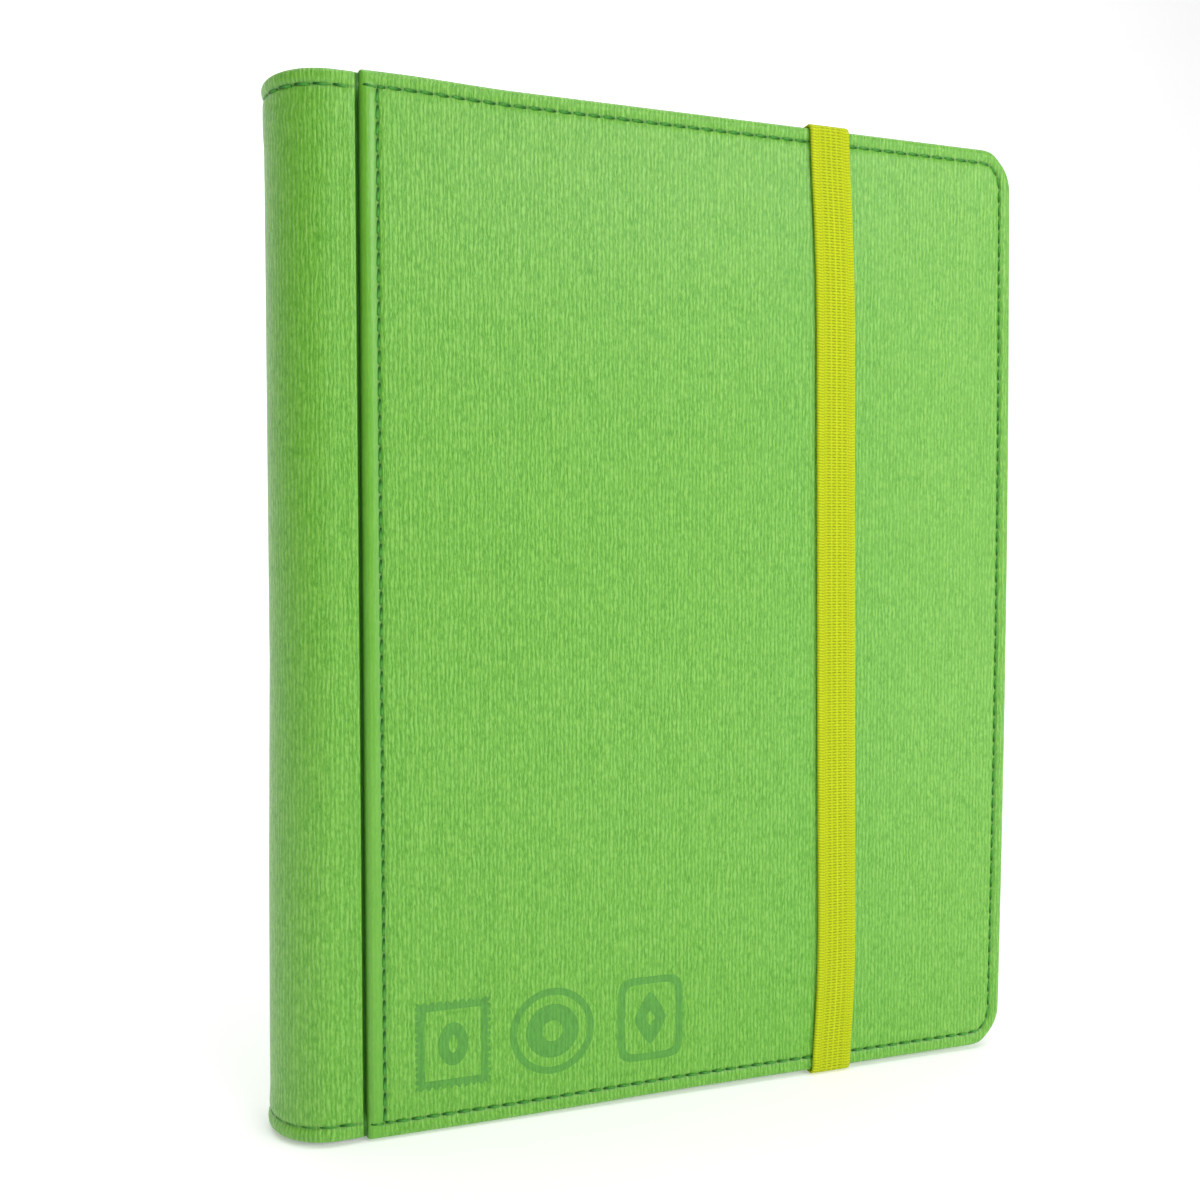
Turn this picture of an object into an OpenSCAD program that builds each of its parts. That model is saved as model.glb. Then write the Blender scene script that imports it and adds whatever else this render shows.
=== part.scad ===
// Collector's pocket album: a padded leatherette case with a round spine, pocket leaves and an elastic
// strap. It stands upright on its tail edge. +Z runs from tail to head, the spine is at -X and the front
// cover at -Y.
// The origin lies under the middle of the closed case, on the surface that it stands on.

/* [Case] */
// Height of the covers, tail to head
cover_h = 240; // [230:1:280]
// Width of the closed album, spine to fore edge
album_w = 192; // [186:1:230]
// Thickness of the closed case, without its strap
album_t = 30; // [28:1:36]
// Radius of each cover's two fore corners
corner_r = 10; // [4:0.5:16]
// Width of the spine, from its back to the hinge groove
spine_w = 20.2; // [20:0.1:26]

/* [Cover layers] */
// Leatherette skin
skin_t = 0.6; // [0.5:0.1:0.8]
// Foam padding under the skin
foam_t = 0.8; // [0.4:0.1:1.2]
// Stiff board
board_t = 2; // [1.5:0.1:2.2]
// Inner lining, and the turned hem around it
lining_t = 0.6; // [0.5:0.1:0.8]
// Width of the hem turned to the inside
hem_w = 9; // [7:0.5:14]

/* [Seams] */
// Distance from an edge to its row of stitches
seam_inset = 3.6; // [2.8:0.1:5]
// Thread thickness
thread_t = 0.4; // [0.3:0.05:0.4]
// Width of the stitched groove
thread_w = 0.8; // [0.6:0.1:1.2]

/* [Spine] */
// Leatherette of the spine
spine_skin_t = 0.7; // [0.6:0.1:0.9]
// Bendy stiffener behind it
stiffener_t = 0.8; // [0.5:0.1:1]
// How far the spine lies under the covers' outer faces
spine_drop = 0.3; // [0:0.1:0.6]
// Play between the spine and a cover's edge
hinge_gap = 0.3; // [0.3:0.1:0.6]

/* [Leaves] */
// Number of pocket leaves
leaf_count = 20; // [4:1:20]
// Height of a leaf
leaf_h = 210; // [180:1:220]
// Backing sheet
backing_t = 0.3; // [0.2:0.05:0.3]
// Clear pocket film, on each face
film_t = 0.25; // [0.15:0.05:0.25]
// Distance from the groove in to the line where the leaves bend
bend_inset = 4.5; // [4.5:0.5:8]
// Distance from the covers' fore edge in to the leaves' edge
fore_margin = 4; // [3:0.5:10]
// Bare margin of a leaf, from its bend to its pockets
leaf_margin = 12; // [8:0.5:16]

/* [Strap] */
// Width of the elastic
strap_w = 11; // [8:0.5:16]
// Thickness of the elastic
strap_t = 0.9; // [0.7:0.1:1]
// Distance from the fore edge in to the strap's centre line
strap_inset = 52.8; // [30:0.1:70]
// Length of each sewn end inside the back cover
tab_l = 20; // [12:1:30]

/* [Hidden] */
$fn = 96;
cover_t = skin_t + foam_t + board_t + lining_t;
edge_r = cover_t / 2;
skin_wall = 1.3;
strap_gap = 0.1;
base_z = strap_t + strap_gap;
spine_x = -album_w / 2;
fore_x = album_w / 2;
groove_x = spine_x + spine_w;
panel_w = fore_x - groove_x;

spine_wall = spine_skin_t + stiffener_t + lining_t;
spine_r = album_t / 2 - spine_drop;
spine_cx = spine_x + spine_r;
spine_flat = groove_x - hinge_gap - spine_cx;
stiffener_inset = 6;

bend_x = groove_x + bend_inset;
bend_play = 1.5;
leaf_end_x = fore_x - fore_margin;
leaf_z = base_z + (cover_h - leaf_h) / 2;
stack_gap = 0.2;
leaf_pitch = (album_t - 2 * cover_t - 2 * stack_gap) / leaf_count;
film_x = bend_x + leaf_margin;
film_edge = 1;
film_slit = 3;
film_col_w = (leaf_end_x - film_edge - film_x - film_slit) / 2;

strip_t = 1.5;
strip_x = spine_cx - 5.2;
strip_half = sqrt(pow(spine_r - spine_wall, 2) - pow(spine_cx - strip_x, 2)) - 0.15;

strap_x = fore_x - strap_inset;
strap_bend_r = 1.6;
tab_depth = cover_t - lining_t - strap_t;
tab_clear = 0.1;
tab_y = album_t / 2 - tab_depth - strap_t;

leaf_ids = [1 : leaf_count];
function padded_number(k) = k < 10 ? str("0", k) : str(k);
function leaf_name(k) = str("leaf_", padded_number(k));
function pockets_name(k) = str("pockets_", padded_number(k));
function leaf_y(k) = (k - (leaf_count + 1) / 2) * leaf_pitch;

leather_green = "#7ac850";
thread_green = "#1f6a34";
lime = "#d2da2c";
lining_black = "#26282a";
film_grey = "#c8ced2";

// ---- cover geometry -------------------------------------------------------------------------------
// A cover is drawn lying down: X as in the album, Y for its height, its outer face on top.

// Stands a lying cover piece up as the front cover
module for_front() {
  translate([0, cover_t - album_t / 2, base_z]) rotate([90, 0, 0]) children();
}

// Stands a lying cover piece up as the back cover
module for_back() {
  mirror([0, 1, 0]) for_front() children();
}

// One layer of a lying cover, at a depth under its outer face
module layer(depth, thickness) {
  translate([0, 0, cover_t - depth - thickness]) linear_extrude(thickness) children();
}

// A rectangle with its two +X corners rounded
module round_ended(width, height, radius) {
  square([width - radius, height]);
  translate([0, radius]) square([width, height - 2 * radius]);
  translate([width - radius, radius]) circle(radius);
  translate([width - radius, height - radius]) circle(radius);
}

// A cover's outline drawn in by an inset, square at the groove and round at the fore corners
module panel_outline(inset) {
  translate([groove_x + inset, inset])
    round_ended(panel_w - 2 * inset, cover_h - 2 * inset, max(corner_r - inset, 0.5));
}

// Section of a round edge, flat side on the Y axis
module edge_section() {
  intersection() {
    circle(edge_r);
    translate([0, -edge_r]) square([edge_r, 2 * edge_r]);
  }
}

// A straight edge that faces +Y and runs along +X
module head_edge(length) {
  rotate([90, 0, 90]) linear_extrude(length) edge_section();
}

// A straight edge that faces +X and runs along +Y
module side_edge(length) {
  translate([0, length, 0]) rotate([90, 0, 0]) linear_extrude(length) edge_section();
}

// A quarter turn of edge, from +X to +Y
module corner_edge(radius) {
  rotate_extrude(angle = 90) translate([radius - edge_r, 0]) edge_section();
}

// A lying cover as one solid, with round edges all the way round
module cover_blank() {
  half_h = cover_h / 2 - edge_r;
  w = panel_w - 2 * edge_r;
  r = corner_r - edge_r;
  linear_extrude(cover_t) panel_outline(edge_r);
  translate([groove_x + edge_r, cover_h / 2, edge_r]) {
    translate([w, r - half_h, 0]) side_edge(2 * (half_h - r));
    translate([0, -half_h, 0]) mirror([1, 0, 0]) side_edge(2 * half_h);
    for (m = [0, 1]) mirror([0, m, 0]) {
      translate([0, half_h, 0]) head_edge(w - r);
      translate([w - r, half_h - r, 0]) corner_edge(corner_r);
      translate([0, half_h, 0]) rotate([0, 0, 90]) corner_edge(edge_r);
    }
  }
}

// The line of a cover's seam
module seam_line() {
  difference() {
    panel_outline(seam_inset - thread_w / 2);
    panel_outline(seam_inset + thread_w / 2);
  }
}

// ---- cover pieces ---------------------------------------------------------------------------------

// The skin wraps the edges and is turned in as a hem, which leaves a window for the lining
module cover_leather() {
  difference() {
    cover_blank();
    layer(skin_t, foam_t + board_t) panel_outline(skin_wall);
    layer(cover_t - lining_t, lining_t + 1) panel_outline(hem_w);
    layer(-1, thread_t + 1) seam_line();
    layer(cover_t - thread_t, thread_t + 1) seam_line();
  }
}

module cover_foam() {
  layer(skin_t, foam_t) panel_outline(skin_wall);
}

module cover_board() {
  layer(skin_t + foam_t, board_t) panel_outline(skin_wall);
}

module cover_lining() {
  layer(cover_t - lining_t, lining_t) panel_outline(hem_w);
}

// Top thread on the outer face and locking thread on the inner one
module cover_stitching() {
  layer(0, thread_t) seam_line();
  layer(cover_t - thread_t, thread_t) seam_line();
}

// ---- strap ----------------------------------------------------------------------------------------

// A sewn end of the strap, at the head of the back cover, with some play around it
module tab_solid(play) {
  translate([
    strap_x - strap_w / 2 - play,
    tab_y - play,
    base_z + cover_h - tab_l - play
  ]) cube([strap_w + 2 * play, strap_t + 2 * play, tab_l + 2 * play]);
}

module at_tail() {
  translate([0, 0, cover_h + 2 * base_z]) mirror([0, 0, 1]) children();
}

// The slots in the back cover that the strap's ends are sewn into
module tab_slots() {
  tab_solid(tab_clear);
  at_tail() tab_solid(tab_clear);
}

// The band's section across its width: over the head, down the front and under the tail
module strap_section() {
  front_y = -album_t / 2 - strap_gap - strap_t;
  back_y = tab_y + strap_t;
  total_h = cover_h + 2 * base_z;
  translate([back_y, 0]) mirror([1, 0]) difference() {
    round_ended(back_y - front_y, total_h, strap_bend_r + strap_t);
    translate([-1, strap_t])
      round_ended(back_y - front_y - strap_t + 1, total_h - 2 * strap_t, strap_bend_r);
  }
}

// ---- spine ----------------------------------------------------------------------------------------

// Sweeps a section, drawn with X as the distance from the spine's axis plane, around the spine
module around_spine() {
  translate([spine_cx, 0, base_z]) {
    rotate([0, 0, 90]) rotate_extrude(angle = 180) children();
    for (m = [0, 1]) mirror([0, m, 0]) rotate([90, 0, 90]) linear_extrude(spine_flat) children();
  }
}

// A layer of the spine's wall at a depth under its skin, drawn in from the head and tail
module spine_layer(depth, thickness, inset) {
  translate([spine_r - depth - thickness, inset]) square([thickness, cover_h - 2 * inset]);
}

// The grooves that the head and tail stitches lie in
module spine_seams(depth) {
  for (z = [seam_inset, cover_h - seam_inset])
    translate([spine_r - thread_t, z - thread_w / 2]) square([thread_t + depth, thread_w]);
}

// The wall's section, with a round edge at the head and the tail
module spine_wall_section() {
  end_r = spine_wall / 2;
  spine_layer(0, spine_wall, end_r);
  for (z = [end_r, cover_h - end_r]) translate([spine_r - end_r, z]) circle(end_r);
}

module spine_leather_section() {
  difference() {
    spine_wall_section();
    spine_layer(spine_skin_t, stiffener_t, stiffener_inset);
    spine_layer(spine_skin_t + stiffener_t, lining_t + 1, hem_w);
    spine_seams(1);
  }
}

// ---- nodes ----------------------------------------------------------------------------------------

module front_leather() { color(leather_green) for_front() cover_leather(); }
module front_foam() { color("white") for_front() cover_foam(); }
module front_board() { color("tan") for_front() cover_board(); }
module front_lining() { color(lining_black) for_front() cover_lining(); }
module front_stitching() { color(thread_green) for_front() cover_stitching(); }

module back_leather() {
  color(leather_green) difference() {
    for_back() cover_leather();
    tab_slots();
  }
}
module back_foam() { color("white") for_back() cover_foam(); }
module back_board() {
  color("tan") difference() {
    for_back() cover_board();
    tab_slots();
  }
}
module back_lining() { color(lining_black) for_back() cover_lining(); }
module back_stitching() {
  color(thread_green) for_back() cover_stitching();
}

module spine_leather() { color(leather_green) around_spine() spine_leather_section(); }
module spine_stiffener() {
  color("white") around_spine() spine_layer(spine_skin_t, stiffener_t, stiffener_inset);
}
module spine_lining() {
  color(lining_black) around_spine() spine_layer(spine_skin_t + stiffener_t, lining_t, hem_w);
}
module spine_stitching() { color(thread_green) around_spine() spine_seams(0); }

// A flat strip across the inside of the spine, which the leaves' margins are bound to
module binding_strip() {
  color(lining_black) translate([strip_x, -strip_half, leaf_z]) cube([strip_t, 2 * strip_half, leaf_h]);
}

// The leaves' bound margins, from the strip to where the leaves bend
module leaf_margins() {
  start_x = strip_x + strip_t;
  color(lining_black) for (k = leaf_ids)
    translate([start_x, leaf_y(k) - backing_t / 2, leaf_z]) cube([bend_x - start_x, backing_t, leaf_h]);
}

module strap() {
  color(lime) translate([strap_x - strap_w / 2, 0, 0]) rotate([90, 0, 90])
    linear_extrude(strap_w) strap_section();
}
module strap_tab_upper() { color(lime) tab_solid(0); }
module strap_tab_lower() { color(lime) at_tail() tab_solid(0); }

// The turning part of a leaf's backing sheet
module leaf(k) {
  start_x = bend_x + bend_play;
  color(lining_black) translate([start_x, leaf_y(k) - backing_t / 2, leaf_z])
    cube([leaf_end_x - start_x, backing_t, leaf_h]);
}

// Two columns of pocket film on each face of a leaf, with a slit between them for side loading
module pockets(k) {
  color(film_grey) for (side = [0, 1], column = [0, 1])
    translate([film_x + column * (film_col_w + film_slit), leaf_y(k), leaf_z + film_edge])
      mirror([0, side, 0]) translate([0, backing_t / 2, 0])
        cube([film_col_w, film_t, leaf_h - 2 * film_edge]);
}

front_leather();
front_foam();
front_board();
front_lining();
front_stitching();
back_leather();
back_foam();
back_board();
back_lining();
back_stitching();
spine_leather();
spine_stiffener();
spine_lining();
spine_stitching();
binding_strip();
leaf_margins();
strap();
strap_tab_upper();
strap_tab_lower();
for (k = leaf_ids) {
  leaf(k);
  pockets(k);
}
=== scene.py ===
"""Looks of a collector's pocket album: padded leatherette covers, a round spine, stitching, an elastic
strap and leaves.

The album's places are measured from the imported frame, and its lengths are in millimetres. The studio's are
in metres.
"""

import math

import bmesh
import bpy
import numpy as np
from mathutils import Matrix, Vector


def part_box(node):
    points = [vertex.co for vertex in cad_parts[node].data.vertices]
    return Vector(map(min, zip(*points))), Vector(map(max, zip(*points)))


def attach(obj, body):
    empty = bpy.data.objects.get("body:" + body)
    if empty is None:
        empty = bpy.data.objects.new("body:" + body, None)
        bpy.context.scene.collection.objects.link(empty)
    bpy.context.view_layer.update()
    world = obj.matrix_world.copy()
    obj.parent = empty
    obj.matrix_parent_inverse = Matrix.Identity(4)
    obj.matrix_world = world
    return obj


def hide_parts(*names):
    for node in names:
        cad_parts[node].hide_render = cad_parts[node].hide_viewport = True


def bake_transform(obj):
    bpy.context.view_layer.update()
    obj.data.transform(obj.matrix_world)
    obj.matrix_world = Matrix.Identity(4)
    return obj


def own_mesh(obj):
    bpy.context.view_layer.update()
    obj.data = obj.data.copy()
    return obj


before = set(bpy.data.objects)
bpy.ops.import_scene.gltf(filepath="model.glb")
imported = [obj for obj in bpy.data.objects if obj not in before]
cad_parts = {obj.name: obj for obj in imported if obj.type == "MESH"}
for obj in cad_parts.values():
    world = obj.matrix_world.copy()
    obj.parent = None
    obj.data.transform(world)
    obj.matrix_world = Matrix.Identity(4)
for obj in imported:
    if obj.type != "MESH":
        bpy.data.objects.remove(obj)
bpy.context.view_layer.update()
MM = 0.001

# ---- places taken from the frame ---------------------------------------------------------------

face_low, face_high = (np.array(c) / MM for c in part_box("front_leather"))
spine_low, spine_high = (np.array(c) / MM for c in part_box("spine_leather"))
strap_low, strap_high = (np.array(c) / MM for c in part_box("strap"))
tab_low, tab_high = (np.array(c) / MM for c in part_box("strap_tab_upper"))
_, strip_high = (np.array(c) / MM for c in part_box("binding_strip"))

GROOVE_X, FORE_X = face_low[0], face_high[0]
TAIL_Z, HEAD_Z = face_low[2], face_high[2]
FACE_Y = face_low[1]
COVER_W, COVER_H = FORE_X - GROOVE_X, HEAD_Z - TAIL_Z
COVER_T = face_high[1] - face_low[1]
SPINE_R = (spine_high[1] - spine_low[1]) / 2
SPINE_CX = spine_low[0] + SPINE_R
MID_Z = (TAIL_Z + HEAD_Z) / 2

CORNER_R = 10.0
SEAM_DEPTH = 0.36
SEAM_HALF = 0.62  # half the width of the valley that a seam draws into a cover
SEAM = 3.6  # from the edge to the row of stitches
GROOVE_SEAM = 4.1  # the same beside the hinge groove
HOLE_DEPTH = 0.12  # of the dimple at each needle hole
FORE_BOW = 1.1  # how far the fore edge falls back at its ends
HEM_RISE = 0.65  # how much the hems at head and tail stand up beside the groove
HEM = 9.0  # width of the hem turned to the inside
ROLL_R = 1.05  # radius of the spine's turned edge at head and tail
SKIN = 0.6
STITCH = 3.6  # from one needle hole to the next
SPINE_STITCH = 4.2
SPINE_WALL = 2.1
SPINE_SKIN = 0.7
LINING_DEPTH = 1.5  # how deep in the spine's wall its lining and its turned-in hems begin
STIFFENER_INSET = 6  # from the spine's ends to its stiffener
THREAD_R = 0.31
GRAIN_PITCH = 1.02
GRAIN_APART = 60.0  # keeps the front's pattern apart from the back's


# ---- mesh helpers --------------------------------------------------------------------------------

def make_object(name, points_mm, faces, materials, grain=None, smooth=True, shares=None):
    """A mesh from points in millimetres. grain holds the unrolled place that the materials' patterns follow,
    shares any further values from 0 to 1 that they use, by name."""
    mesh = bpy.data.meshes.new(name)
    mesh.from_pydata((np.asarray(points_mm, float) * MM).tolist(), [], [list(f) for f in faces])
    for m in materials:
        mesh.materials.append(m)
    mesh.polygons.foreach_set("use_smooth", [smooth] * len(mesh.polygons))
    places = np.asarray(points_mm if grain is None else grain, np.float32)
    held = mesh.attributes.new("grain", "FLOAT_VECTOR", "POINT")
    held.data.foreach_set("vector", places.ravel())
    for key, values in (shares or {}).items():
        mesh.attributes.new(key, "FLOAT", "POINT").data.foreach_set("value", np.asarray(values, np.float32))
    obj = bpy.data.objects.new(name, mesh)
    bpy.context.collection.objects.link(obj)
    return obj


def tidy_mesh(obj, merge=1e-6):
    """Merges points that lie together and turns all faces outwards."""
    bm = bmesh.new()
    bm.from_mesh(obj.data)
    bmesh.ops.remove_doubles(bm, verts=bm.verts, dist=merge)
    bmesh.ops.recalc_face_normals(bm, faces=bm.faces)
    bm.to_mesh(obj.data)
    bm.free()


def loft(rows, columns, close_rows=False, close_columns=False, start=0):
    """Quads between rows of points, each row holding the same number of columns."""
    faces = []
    for i in range(rows if close_rows else rows - 1):
        below, above = start + i * columns, start + (i + 1) % rows * columns
        for j in range(columns if close_columns else columns - 1):
            k = (j + 1) % columns
            faces.append((below + j, below + k, above + k, above + j))
    return faces


def smooth_step(x, low, high):
    t = np.clip((np.asarray(x, float) - low) / (high - low), 0, 1)
    return t * t * (3 - 2 * t)


def bump_at(x, centre, width):
    return np.exp(-(((np.asarray(x, float) - centre) / width) ** 2))


# ---- materials ------------------------------------------------------------------------------------

class Nodes:
    """A short way to write a material's nodes."""

    def __init__(self, name):
        self.material = bpy.data.materials.new(name)
        self.material.use_nodes = True
        self.tree = self.material.node_tree
        self.shader = self.tree.nodes["Principled BSDF"]

    def add(self, kind, inputs=None, **settings):
        node = self.tree.nodes.new(kind)
        for key, value in settings.items():
            setattr(node, key, value)
        for key, value in (inputs or {}).items():
            self.feed(node.inputs[key], value)
        return node

    def feed(self, socket, value):
        if isinstance(value, bpy.types.NodeSocket):
            self.tree.links.new(value, socket)
        else:
            socket.default_value = value

    def math(self, kind, a, b=0.0):
        return self.add("ShaderNodeMath", {0: a, 1: b}, operation=kind).outputs[0]

    def grain(self, scale):
        """The unrolled place, scaled along each of its axes."""
        place = self.add("ShaderNodeAttribute", attribute_name="grain").outputs["Vector"]
        return self.add("ShaderNodeVectorMath", {0: place, 1: scale}, operation="MULTIPLY").outputs[0]

    def noise(self, vector, scale=1.0, detail=2.0, rough=0.5):
        inputs = {"Vector": vector, "Scale": scale, "Detail": detail, "Roughness": rough}
        return self.add("ShaderNodeTexNoise", inputs).outputs["Fac"]

    def ramp(self, value, low, high, to_low=0.0, to_high=1.0):
        """Spreads a value's range from low to high over another range, and holds it there."""
        inputs = {0: value, 1: low, 2: high, 3: to_low, 4: to_high}
        return self.add("ShaderNodeMapRange", inputs, clamp=True).outputs[0]

    def mix(self, factor, a, b):
        """Mixes two colours, or two values when b is a number."""
        plain = isinstance(b, float)
        node = self.add("ShaderNodeMix", data_type="FLOAT" if plain else "RGBA")
        self.feed(node.inputs[0], factor)
        self.feed(node.inputs[2 if plain else 6], a)
        self.feed(node.inputs[3 if plain else 7], b)
        return node.outputs[0 if plain else 2]

    def bump(self, height, strength, distance_mm):
        inputs = {"Height": height, "Strength": strength, "Distance": distance_mm * MM}
        return self.add("ShaderNodeBump", inputs).outputs["Normal"]

    def surface(self, **values):
        for key, value in values.items():
            self.feed(self.shader.inputs[key.replace("_", " ")], value)
        return self.material


def rgb(r, g, b):
    return (r, g, b, 1.0)


def leather(name, base, dark, light, relief=1.0):
    """Leatherette with an embossed grain: fine ribs that run up the cover, wavy and broken into short
    lengths. The mesh's crease share lays painted shade on it in seam valleys and down into the groove, and
    its calm share tells where it is stretched calm beside the groove."""
    rib_share, streak_share = 0.47, 0.53
    n = Nodes(name)
    # the crease share: how much painted shade darkens the skin in seam valleys, the groove and beside it
    crease = n.add("ShaderNodeAttribute", attribute_name="crease").outputs["Fac"]
    calm = n.add("ShaderNodeAttribute", attribute_name="calm").outputs["Fac"]
    wander = n.noise(n.grain((0.25, 0.05, 0.25)), detail=1.0)
    jitter = n.noise(n.grain((0.95, 0.17, 0.95)), detail=1.0)
    across = n.add("ShaderNodeSeparateXYZ", {0: n.grain((1, 1, 1))}).outputs[0]
    across = n.math("ADD", across, n.math("MULTIPLY", wander, 0.8))
    across = n.math("ADD", across, n.math("MULTIPLY", jitter, 1.15))
    rib = n.math("SINE", n.math("MULTIPLY", across, 2 * math.pi / GRAIN_PITCH))
    rib = n.ramp(rib, -0.9, 0.9)
    lengths = n.ramp(n.noise(n.grain((1.1, 0.34, 1.1)), 1.0, 2.0, 0.6), 0.32, 0.56)
    streaks = n.ramp(n.noise(n.grain((2.3, 0.62, 2.3)), 1.0, 3.0, 0.65), 0.34, 0.66)
    patches = n.noise(n.grain((0.20, 0.10, 0.20)), 1.0, 3.0, 0.6)
    ribs = n.math("MULTIPLY", n.math("MULTIPLY", rib, lengths), rib_share)
    height = n.math("ADD", ribs, n.math("MULTIPLY", streaks, streak_share))
    height = n.mix(n.math("MULTIPLY", calm, 0.75), height, 0.42)
    colour = n.mix(n.ramp(height, 0.08, 0.5), dark, base)
    colour = n.mix(n.ramp(height, 0.5, 0.95), colour, light)
    colour = n.mix(n.ramp(patches, 0.35, 0.65, to_high=0.14), colour, light)
    # painted shade: dark green laid on where the crease share is high
    colour = n.mix(crease, colour, rgb(0.018, 0.13, 0.006))
    rough = n.ramp(height, 0.1, 0.9, to_low=0.47, to_high=0.26)
    normal = n.bump(height, 0.85 * relief, 0.2)
    return n.surface(
        Base_Color=colour, Roughness=rough, Normal=normal, IOR=1.52, Coat_Weight=0.16, Coat_Roughness=0.3
    )


def thread(name):
    """Twisted sewing thread, with painted shade at the ends of each stitch, where it dives into its needle
    holes.
    """
    n = Nodes(name)
    place = n.add("ShaderNodeAttribute", attribute_name="grain").outputs["Vector"]
    twist = n.add(
        "ShaderNodeTexWave", {"Vector": place, "Scale": 1.1, "Distortion": 0.4}, bands_direction="DIAGONAL"
    ).outputs["Fac"]
    # crown is low at both ends of a stitch; the dark green it lays there is painted shade of the needle holes
    crown = n.ramp(n.add("ShaderNodeSeparateXYZ", {0: place}).outputs[2], 0.38, 1.05)
    colour = n.mix(twist, rgb(0.03, 0.22, 0.022), rgb(0.10, 0.40, 0.06))
    colour = n.mix(crown, rgb(0.008, 0.095, 0.008), colour)
    return n.surface(
        Base_Color=colour, Roughness=0.6, Normal=n.bump(twist, 0.6, 0.08), IOR=1.35
    )


def elastic(name):
    """Woven elastic. Its picks and cords are in the mesh, which tells their height. The yarns are here."""
    n = Nodes(name)
    weave = n.add("ShaderNodeAttribute", attribute_name="weave").outputs["Fac"]
    yarns = n.noise(n.grain((7, 2.2, 7)), 1.0, 2.0, 0.6)
    shade = n.noise(n.grain((0.4, 0.08, 0.4)), 1.0, 2.0)
    colour = n.mix(n.ramp(weave, 0.15, 0.9), rgb(0.12, 0.165, 0.0004), rgb(0.54, 0.62, 0.008))
    colour = n.mix(n.ramp(yarns, 0.45, 0.75, to_high=0.45), colour, rgb(0.60, 0.69, 0.03))
    colour = n.mix(n.ramp(shade, 0.4, 0.7, to_high=0.2), colour, rgb(0.36, 0.43, 0.003))
    height = n.math("ADD", n.math("MULTIPLY", weave, 0.6), n.math("MULTIPLY", yarns, 0.6))
    return n.surface(
        Base_Color=colour, Roughness=0.85, Normal=n.bump(height, 0.7, 0.1), IOR=1.3
    )


def pebbled(name, base, light, size_mm, depth_mm, rough):
    """Sheet or fabric with a fine pebble grain, for linings and leaf backing."""
    n = Nodes(name)
    place = n.add("ShaderNodeTexCoord").outputs["Object"]
    cells = n.add("ShaderNodeTexVoronoi", {"Vector": place, "Scale": 1 / (size_mm * MM)}).outputs["Distance"]
    cloud = n.noise(place, 25.0, 3.0)
    colour = n.mix(n.ramp(cells, 0.1, 0.7), light, base)
    colour = n.mix(n.ramp(cloud, 0.4, 0.75, to_high=0.3), colour, light)
    roughness = n.ramp(cloud, 0.3, 0.7, to_low=rough - 0.06, to_high=rough + 0.08)
    return n.surface(Base_Color=colour, Roughness=roughness, Normal=n.bump(cells, 0.5, depth_mm))


def board(name, base, dark, scale):
    """Grey-brown pulp board or foam, with flecks."""
    n = Nodes(name)
    place = n.add("ShaderNodeTexCoord").outputs["Object"]
    flecks = n.noise(place, scale, 4.0, 0.7)
    colour = n.mix(n.ramp(flecks, 0.35, 0.7), dark, base)
    return n.surface(Base_Color=colour, Roughness=n.ramp(flecks, 0.3, 0.7, to_low=0.8, to_high=0.95),
                     Normal=n.bump(flecks, 0.4, 0.1))


def film(name):
    """Clear pocket film: glossy, slightly rippled, seen through."""
    n = Nodes(name)
    place = n.add("ShaderNodeTexCoord").outputs["Object"]
    ripple = n.noise(place, 60.0, 2.0, 0.4)
    scuffs = n.noise(place, 900.0, 2.0, 0.6)
    rough = n.ramp(scuffs, 0.45, 0.75, to_low=0.1, to_high=0.3)
    haze = n.mix(n.ramp(scuffs, 0.4, 0.8), rgb(0.55, 0.58, 0.6), rgb(0.8, 0.83, 0.85))
    n.material.blend_method = "BLEND"
    return n.surface(Base_Color=haze, Roughness=rough, Alpha=0.22, IOR=1.5, Normal=n.bump(ripple, 0.3, 0.4))


MAT_LEATHER = leather(
    "green_leather", rgb(0.145, 0.435, 0.027), rgb(0.072, 0.31, 0.008), rgb(0.258, 0.58, 0.085)
)
MAT_STAMPED = leather(
    "stamped_leather", rgb(0.075, 0.31, 0.025), rgb(0.055, 0.25, 0.018), rgb(0.10, 0.37, 0.035), relief=0.25
)
MAT_THREAD = thread("green_thread")
MAT_ELASTIC = elastic("lime_elastic")
MAT_LINING = pebbled("black_lining", rgb(0.016, 0.017, 0.019), rgb(0.04, 0.041, 0.044), 0.9, 0.12, 0.55)
MAT_BACKING = pebbled("black_backing", rgb(0.010, 0.0105, 0.012), rgb(0.028, 0.029, 0.032), 0.5, 0.05, 0.42)
MAT_BOARD = board("pulp_board", rgb(0.36, 0.30, 0.22), rgb(0.24, 0.19, 0.13), 900)
MAT_FOAM = board("white_foam", rgb(0.82, 0.82, 0.78), rgb(0.66, 0.66, 0.62), 1400)
MAT_FILM = film("clear_film")


# ---- covers ---------------------------------------------------------------------------------------

SIDE_STEP, ARC_STEPS, NOSE_STEPS = 0.9, 20, 5
NOSE_POWER = 0.62  # under 1 squares off the round edge


def settle(points):
    """Moves an outline's points as sewing has drawn the case: its fore edge bows, and its hems at head and
    tail stand up towards the groove."""
    x, z = points[:, 0], points[:, 1]
    bowed = smooth_step(x, FORE_X - 8, FORE_X - 3) * ((z - MID_Z) / (COVER_H / 2)) ** 2
    head = (1 - smooth_step(x, GROOVE_X + 8, GROOVE_X + 36)) * smooth_step(z, HEAD_Z - 40, HEAD_Z - 5)
    tail = (1 - smooth_step(x, GROOVE_X + 25, GROOVE_X + 85)) * smooth_step(-z, -TAIL_Z - 40, -TAIL_Z - 5)
    return np.column_stack([x - FORE_BOW * bowed, z + HEM_RISE * (head - tail)])


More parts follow.
